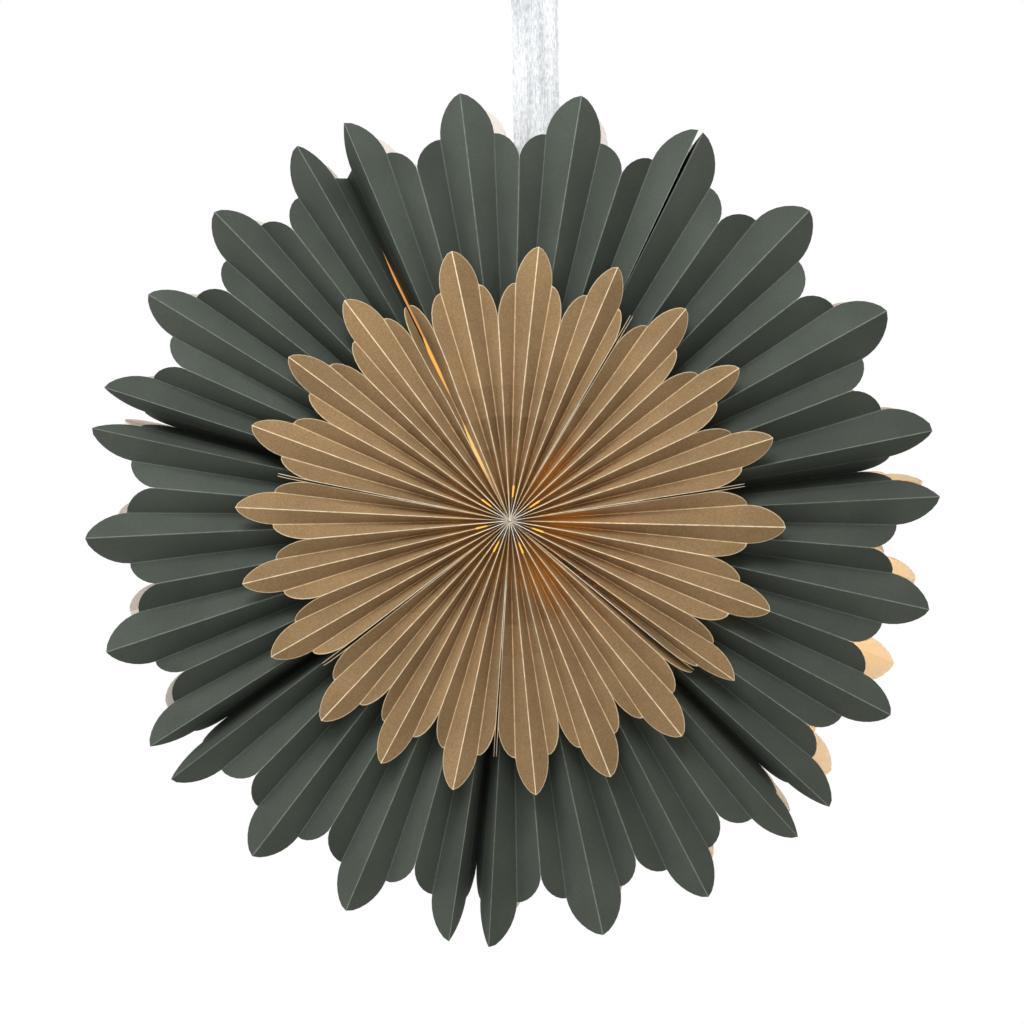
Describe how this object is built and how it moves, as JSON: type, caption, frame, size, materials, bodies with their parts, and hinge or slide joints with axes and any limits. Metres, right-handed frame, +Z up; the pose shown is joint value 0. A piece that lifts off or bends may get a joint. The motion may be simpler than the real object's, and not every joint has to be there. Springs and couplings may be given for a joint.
{
  "type": "hanging paper star",
  "caption": "Round hanging paper star of pleated card fans: a small tan rosette before a large dark green one, a matching back rosette round a lamp space, and a velvet ribbon with a loop.",
  "frame": {"origin": "middle of the star, on its axis, halfway between the front and back rosettes", "axes": "+Z up towards the hanging loop, +Y towards the back, so the star faces -Y"},
  "size_m": [0.6996, 0.1207, 0.8502],
  "materials": {
    "tan_card": "matt",
    "green_card": "matt",
    "back_card": "matt",
    "velvet": "satin"
  },
  "bodies": {
    "root": {"back_fan_1": "back_card", "back_fan_2": "back_card", "back_fan_3": "back_card", "back_fan_4": "back_card", "back_fan_5": "back_card", "back_fan_6": "back_card", "back_fan_7": "back_card", "centre_fan_1": "tan_card", "centre_fan_2": "tan_card", "centre_fan_3": "tan_card", "centre_fan_4": "tan_card", "centre_fan_5": "tan_card", "centre_fan_6": "tan_card", "centre_fan_7": "tan_card", "front_fan_1": "green_card", "front_fan_2": "green_card", "front_fan_3": "green_card", "front_fan_4": "green_card", "front_fan_5": "green_card", "front_fan_6": "green_card", "front_fan_7": "green_card", "hanging_ribbon": "velvet"}
  },
  "joints": []
}
